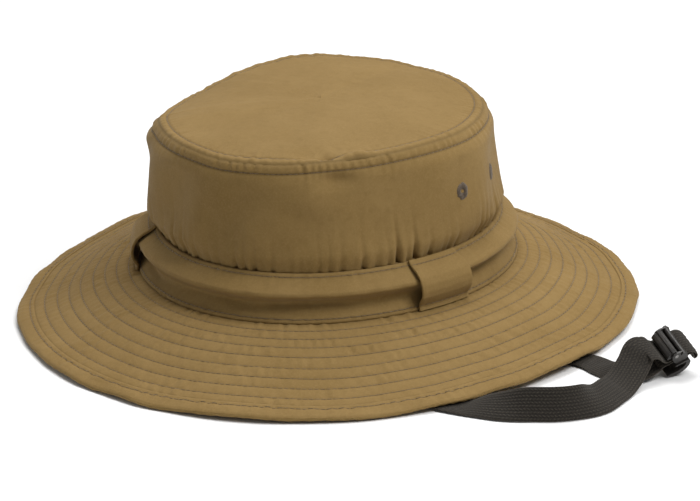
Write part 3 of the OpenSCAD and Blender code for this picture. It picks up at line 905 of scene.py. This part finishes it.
def make_crown():
    """The crown's wall and its top, each a closed shell, and the stitching along their seam."""
    rows = 760
    thick = 1.0
    shares = np.concatenate([np.linspace(0, 0.3, 26)[:-1], np.linspace(0.3, 0.8, 34)[:-1],
                             np.linspace(0.8, 1.0, 36)])
    u, h = grid(rows, shares)
    outer = wall(u, h)
    down = wall_top(u) - outer[..., 2]
    # Painted shade along the wall's stitch row, at the top seam, and where the wall tucks behind the band's
    # top edge
    shade_marks = 0.6 * near(down, WALL_ROW, 0.6) + near(down, 0, 0.9) + 0.3 * near(outer[..., 2], BAND_Z, 2.5)
    u2, h2 = grid(rows, np.linspace(1, 0, 40))
    inner = wall(u2, h2)
    inner = inner - normals(wall, u2, h2, dv=0.002) * thick
    ring_piece("crown_wall_cloth", [outer, inner], [shade_marks, np.zeros(u2.shape)], SHELL, 1,
               replaces=["crown_wall"], slot="hat_cloth")
    depths = np.concatenate([np.linspace(0, 12, 30)[:-1], np.linspace(12, 40, 26)[:-1],
                             np.linspace(40, TIP_RUN - 0.6, 30)])
    u, d = grid(rows, depths)
    outer = tip(u, d)
    # Painted shade along the tip's stitch row and at the top seam
    shade_marks = 0.6 * near(d, TIP_ROW, 0.6) + near(d, 0, 0.9)
    below = outer[:, ::-1] - np.array([0, 0, thick])
    points = np.concatenate([outer, below], 1)
    rows, columns = points.shape[:2]
    faces = [list(f) for f in grid_faces(rows, columns, True, True)]
    # The innermost rings are closed with triangles to a centre point, above and below
    low_edge = outer.shape[1]
    top_edge = low_edge - 1
    keep = [f for f in faces if {f[0] % columns, f[2] % columns} != {top_edge, low_edge}]
    centre = points[:, top_edge].mean(0)
    points = np.concatenate([points.reshape(-1, 3), [centre, centre - np.array([0, 0, thick])]])
    top_centre, low_centre = len(points) - 2, len(points) - 1
    for i in range(rows):
        j = (i + 1) % rows
        keep.append([i * columns + top_edge, j * columns + top_edge, top_centre])
        keep.append([j * columns + low_edge, i * columns + low_edge, low_centre])
    shade_marks = np.concatenate([np.concatenate([shade_marks, 0 * shade_marks], 1).ravel(), [0, 0]])
    weave = points[:, :2]
    make_piece("crown_tip_cloth", points, keep, SHELL, replaces=["crown_tip"], slot="hat_cloth",
               shade_marks=shade_marks, weave=weave)
    stitches = Stitches(104)
    stitches.all_round(wall_below_seam, WALL_ROW, outward=-1, pitch=SEAM_STITCH)
    stitches.all_round(tip, TIP_ROW, pitch=SEAM_STITCH)
    stitches.piece("crown_seam_stitching", THREAD)


def make_band():
    """The folded band and its two stitch rows."""
    rows = 760
    u, v = grid(rows, np.linspace(-0.2, 21.5, 60))
    outer = band(u, v)
    # Painted shade along the band's two stitch rows and at its base seam
    shade_marks = 0.5 * near(v, BAND_ROW_LOW, 0.5) + 0.5 * near(v, BAND_ROW_TOP, 0.5) + 0.8 * near(v, -0.2, 0.6)
    u2, v2 = grid(rows, np.linspace(21.2, 0.2, 14))
    x, y = oval(u2, -2.8 - 7.0 * v2 / 20.8)
    inner = np.stack([x, y, BASE_Z + v2], -1)
    ring_piece("hat_band_cloth", [outer, inner], [shade_marks, np.zeros(u2.shape)], SHELL, 1,
               replaces=["hat_band"], slot="hat_cloth")
    stitches = Stitches(105)
    stitches.all_round(band, BAND_ROW_LOW, pitch=SEAM_STITCH)
    stitches.all_round(band, BAND_ROW_TOP, pitch=SEAM_STITCH)
    stitches.piece("band_stitching", THREAD)


# Each loop's direction in degrees, and the seed of its waves
LOOPS = {"band_loop_left": (-26.2, 41), "band_loop_right": (206.2, 42), "band_loop_back": (90, 43)}


def make_loop(node, middle, seed, stitches):
    """A doubled strip of cloth with folded edges, sewn down at its top and bottom."""

    def face(a, w):
        return loop_face(a, w, middle, seed)

    def face_normals(a, w):
        return normals(face, a, w, du=0.05, dv=0.004)

    def outside(a, w):
        return face(a, w) + face_normals(a, w) * 2 * LOOP_HALF_THICK

    # The section runs across the outer face, round one folded edge, back, and round the other
    turns = np.linspace(-math.pi / 2, math.pi / 2, 7)
    side = LOOP_HALF - LOOP_HALF_THICK
    a = np.concatenate([np.linspace(-side, side, 40), side + LOOP_HALF_THICK * np.cos(turns[::-1])[1:-1],
                        np.linspace(side, -side, 40), -side - LOOP_HALF_THICK * np.cos(turns)[1:-1]])
    lift = np.concatenate([np.ones(40), np.sin(turns[::-1])[1:-1], -np.ones(40), np.sin(turns)[1:-1]])
    w, a = np.meshgrid(np.linspace(0, 1, 64), a, indexing="ij")
    lift = np.broadcast_to(lift, a.shape)
    hem_edge = np.where(np.abs(a) > side - 1.6, 0.12, 0) * np.sign(lift)
    rise = lift * LOOP_HALF_THICK + hem_edge + LOOP_HALF_THICK
    points = face(a, w) + face_normals(a, w) * rise[..., None]
    faces = capped_faces(*points.shape[:2])
    # Painted shade along the loop's two stitch rows, on its outer face
    shade_marks = np.where(lift > 0.5, sum(0.5 * near(w, row, 0.02) for row in LOOP_ROWS), 0)
    weave = np.stack([a, w * 26], -1)
    make_piece(node + "_cloth", points, faces, SHELL, replaces=[node], slot="hat_cloth", shade_marks=shade_marks,
               weave=weave)
    count, reach = 11, LOOP_HALF - 0.4
    a = (np.arange(count) + 0.5) / count * 2 * reach - LOOP_HALF + 0.4
    for row in LOOP_ROWS:
        w = np.full(count, row)
        along = unit(outside(a + 0.5, w) - outside(a - 0.5, w))
        stitches.row(outside(a, w), along, face_normals(a, w), pitch=2 * reach / count)


# Sections inside the crown, as (distance outside the oval, height)
SWEATBAND_SECTION = [(-3.5, 24.4), (-3.6, 21.2), (-4.1, 20.7), (-4.8, 21.0), (-5.0, 24), (-6.6, 29),
                     (-9.2, 36), (-12.0, 43.6), (-12.3, 44.4), (-11.4, 44.5), (-10.6, 43.8)]
TAPE_SECTION = [(-14.9, 95.2), (-14.9, 88), (-15.6, 87.8), (-15.8, 91.5), (-15.6, 95.2)]
TAPE_DROP = 0.5


def sweatband_face(u, v):
    """The sweatband's inner face, which its stitches lie on."""
    return np.stack([*oval(u, -5.05 - (v - 24) * 0.37), v + 0 * u], -1)


def make_inside():
    """The sweatband and the tape over the top seam, inside the crown."""
    rows = 420
    ease = Ripple(51, 24, terms=8)
    corners = range(len(SWEATBAND_SECTION))
    spots = np.linspace(0, corners[-1], 64)
    offset = np.interp(spots, corners, [p[0] for p in SWEATBAND_SECTION])
    z = np.interp(spots, corners, [p[1] for p in SWEATBAND_SECTION])
    u, k = grid(rows, np.arange(len(spots)))
    k = k.astype(int)
    free = np.exp(-((z[k] - 33) / 7) ** 2)
    x, y = oval(u, offset[k] + 0.25 * ease(u) * free)
    band_points = np.stack([x, y, z[k]], -1)
    # Painted shade along the sweatband's two stitch rows
    shade_marks = 0.6 * near(z[k], 23, 0.4) + 0.6 * near(z[k], 42.4, 0.4)
    ring_piece("sweatband_cloth", [band_points], [shade_marks], LINING, -1, replaces=["sweatband"],
               slot="lining_cloth")
    u, k = grid(rows, np.arange(len(TAPE_SECTION)))
    k = k.astype(int)
    offset, z = np.array(TAPE_SECTION).T
    x, y = oval(u, offset[k] + 0.15 * ease(u))
    sag = wall_top(u) - SEAM_Z - TAPE_DROP
    points = np.stack([x + TOP_SHIFT[0], y + TOP_SHIFT[1], z[k] + sag + 0.2 * ease(u + 0.2)], -1)
    ring_piece("crown_seam_tape_cloth", [points], [np.zeros(u.shape)], LINING, -1,
               replaces=["crown_seam_tape"], slot="lining_cloth")
    stitches = Stitches(106)
    for height in (25.4, 42.0):
        stitches.all_round(sweatband_face, height, outward=-1)
    stitches.piece("sweatband_stitching", THREAD)


EYELET_R, EYELET_HOLE = 4.0, 0.9
# How far the eyelets sit above the CAD ones
EYELET_LIFT = 0.6
# Each eyelet's direction in degrees, and the seed of its ragged edge
EYELETS = {"eyelet_left_front": (-13, 61), "eyelet_left_back": (5.5, 62),
           "eyelet_right_front": (193, 63), "eyelet_right_back": (174.5, 64)}


def make_eyelet(node, degrees, seed):
    """Satin stitches all round a small hole, on both faces of the wall."""
    u = np.array([share_of(degrees)])
    z = (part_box(node)[0].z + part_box(node)[1].z) / 2 / MM + EYELET_LIFT
    h = height_share(u, z)
    at = wall(u, h)[0]
    out = normals(wall, u, h, dv=0.002)[0]
    out = out if out @ np.array([at[0], at[1], 0]) > 0 else -out
    level = unit(np.cross(np.array([0, 0, 1.0]), out))
    upright = np.cross(out, level)
    rng = np.random.default_rng(seed)
    spokes, per = 30, 6
    a = np.linspace(0, TAU, spokes * per, endpoint=False)
    turn = np.linspace(0, TAU, 26, endpoint=False)
    ragged = np.repeat(rng.uniform(-0.3, 0.3, spokes), per)
    inner = EYELET_HOLE * (1 + 0.25 * np.cos(2 * a + 0.6))
    outer = EYELET_R + ragged
    middle, half = (inner + outer) / 2, (outer - inner) / 2
    ridge = np.abs(np.sin(a * spokes / 2)) ** 0.6
    reach = middle[:, None] + half[:, None] * np.cos(turn)[None, :]
    rise = (0.45 + 0.35 * ridge)[:, None] * np.sin(turn)[None, :] + 0.5 * np.sin(turn)[None, :] - 0.4
    a2 = (a + 0.05 * np.sin(3 * a))[:, None]
    points = (at + reach[..., None] * (np.cos(a2)[..., None] * level + np.sin(a2)[..., None] * upright)
              + rise[..., None] * out)
    faces = grid_faces(*points.shape[:2], True, True)
    make_piece(node + "_embroidery", points, faces, EYELET, replaces=[node], slot="thread")


def finish_cad_node(name, material, bevel):
    """Keeps a CAD node, with its own material and softened moulded edges."""
    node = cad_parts[name]
    node.data.materials.clear()
    node.data.materials.append(material)
    edges = node.modifiers.new("soft_edges", "BEVEL")
    edges.width = bevel
    edges.segments = 3
    edges.limit_method = "ANGLE"
    edges.angle_limit = math.radians(28)


make_brim()
make_crown()
make_band()
loop_stitches = Stitches(107)
for node, (middle, seed) in LOOPS.items():
    make_loop(node, middle, seed, loop_stitches)
loop_stitches.piece("loop_stitching", THREAD)
make_inside()
for node, (degrees, seed) in EYELETS.items():
    make_eyelet(node, degrees, seed)
finish_cad_node("slider_frame", PLASTIC, 0.0003)
finish_cad_node("cam_lever", PLASTIC, 0.0002)
finish_cad_node("slider_pin", STEEL, 0.0002)


# ---------------------------------------------------------------- floor and light

def make_floor():
    """A pale square floor, just under the hat, in metres."""
    half, z = 4, -0.0002
    mesh = bpy.data.meshes.new("floor")
    mesh.from_pydata([(-half, -half, z), (half, -half, z), (half, half, z), (-half, half, z)], [],
                     [(0, 1, 2, 3)])
    floor = bpy.data.objects.new("floor", mesh)
    bpy.context.scene.collection.objects.link(floor)
    material, tree, shader = new_material("pale_floor", 0.9, specular=0.2)
    shader.inputs["Base Color"].default_value = (0.86, 0.86, 0.86, 1)
    mesh.materials.append(material)


def make_light(name, at, size, power):
    """A square lamp, aimed at the middle of the crown."""
    aim = Vector((0, 0, 0.05))
    lamp = bpy.data.lights.new(name, "AREA")
    lamp.size = size
    lamp.energy = power
    light = bpy.data.objects.new(name, lamp)
    bpy.context.scene.collection.objects.link(light)
    light.location = at
    light.rotation_mode = "QUATERNION"
    light.rotation_quaternion = (aim - Vector(at)).to_track_quat("-Z", "Y")


make_floor()
make_light("key", (1.1, 0.0, 1.5), 0.9, 25)
make_light("fill", (-1.5, -0.8, 0.9), 1.4, 3)
make_light("top", (-0.2, 0.5, 1.7), 1.2, 25)
world = bpy.data.worlds.new("studio")
world.use_nodes = True
world.node_tree.nodes["Background"].inputs["Color"].default_value = (1, 1, 1, 1)
world.node_tree.nodes["Background"].inputs["Strength"].default_value = 0.2
bpy.context.scene.world = world
bpy.context.scene.view_settings.view_transform = "Standard"
